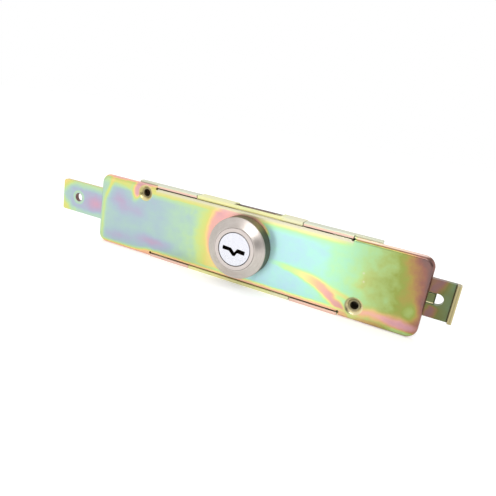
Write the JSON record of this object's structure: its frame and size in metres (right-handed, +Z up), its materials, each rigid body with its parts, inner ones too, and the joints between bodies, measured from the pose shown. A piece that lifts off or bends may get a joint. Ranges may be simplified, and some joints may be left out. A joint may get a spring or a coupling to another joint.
{
  "type": "roller shutter lock",
  "caption": "Flat two-bolt roller shutter lock: chromate-plated steel case with a round key cylinder whose pinion drives two flat bolts out at the ends.",
  "frame": {"origin": "middle of the lock's outline, on the surface it stands on with its long lower edge down", "axes": "+X along the lock towards the slotted bolt with the bent lip, +Y from the key side to the back, +Z up across the lock"},
  "size_m": [0.2364, 0.0224, 0.0426],
  "materials": {
    "zinc_sheet": "pressed steel sheet with iridescent yellow chromate plating",
    "zinc_bolt": "flat steel bar with iridescent yellow chromate plating",
    "nickel": "satin nickel on brass",
    "plug_face": "polished nickel on brass",
    "brass": "stamped brass",
    "plain_steel": "plain zinc-plated steel",
    "spring_steel": "hardened spring steel"
  },
  "bodies": {
    "frame": {"front_plate": "zinc_sheet", "back_case": "zinc_sheet", "centre_saddle": "zinc_sheet", "cylinder_collar": "nickel", "cylinder_housing": "nickel", "saddle_rivet_upper_left": "plain_steel", "saddle_rivet_upper_right": "plain_steel", "saddle_rivet_lower_left": "plain_steel", "saddle_rivet_lower_right": "plain_steel", "housing_screw_left": "plain_steel", "housing_screw_right": "plain_steel", "left_slot_guide": "zinc_bolt", "right_slot_guide": "zinc_bolt", "guide_rivet_left": "plain_steel", "guide_rivet_right_inner": "plain_steel", "guide_rivet_right_outer": "plain_steel"},
    "plug": {"plug": "plug_face", "drive_pinion": "plain_steel", "tail_clip": "spring_steel", "wafer_spring_1": "spring_steel", "wafer_spring_2": "spring_steel", "wafer_spring_3": "spring_steel", "wafer_spring_4": "spring_steel"},
    "left_bolt": {"left_bolt": "zinc_bolt"},
    "right_bolt": {"right_bolt": "zinc_bolt"},
    "wafer_1": {"wafer_1": "brass"},
    "wafer_2": {"wafer_2": "brass"},
    "wafer_3": {"wafer_3": "brass"},
    "wafer_4": {"wafer_4": "brass"}
  },
  "joints": [
    {"name": "key_turn", "type": "hinge", "parent": "frame", "child": "plug", "pos_m": [0.00905, -0.00108, 0.022], "axis": [0, -1, 0], "range_deg": [0, 90]},
    {"name": "left_bolt_slide", "type": "slide", "parent": "frame", "child": "left_bolt", "axis": [-1, 0, 0], "range_m": [0, 0.01884]},
    {"name": "right_bolt_slide", "type": "slide", "parent": "frame", "child": "right_bolt", "axis": [1, 0, 0], "range_m": [0, 0.01884]},
    {"name": "wafer_1_slide", "type": "slide", "parent": "plug", "child": "wafer_1", "axis": [1, 0, 0], "range_m": [0, 0.0008], "stiffness_N_per_m": 60},
    {"name": "wafer_2_slide", "type": "slide", "parent": "plug", "child": "wafer_2", "axis": [-1, 0, 0], "range_m": [0, 0.0008], "stiffness_N_per_m": 60},
    {"name": "wafer_3_slide", "type": "slide", "parent": "plug", "child": "wafer_3", "axis": [1, 0, 0], "range_m": [0, 0.0008], "stiffness_N_per_m": 60},
    {"name": "wafer_4_slide", "type": "slide", "parent": "plug", "child": "wafer_4", "axis": [-1, 0, 0], "range_m": [0, 0.0008], "stiffness_N_per_m": 60}
  ],
  "couplings": [
    {"joint": "key_turn", "follows": "left_bolt_slide", "rad_per_m": 83.333},
    {"joint": "right_bolt_slide", "follows": "left_bolt_slide", "ratio": 1}
  ]
}
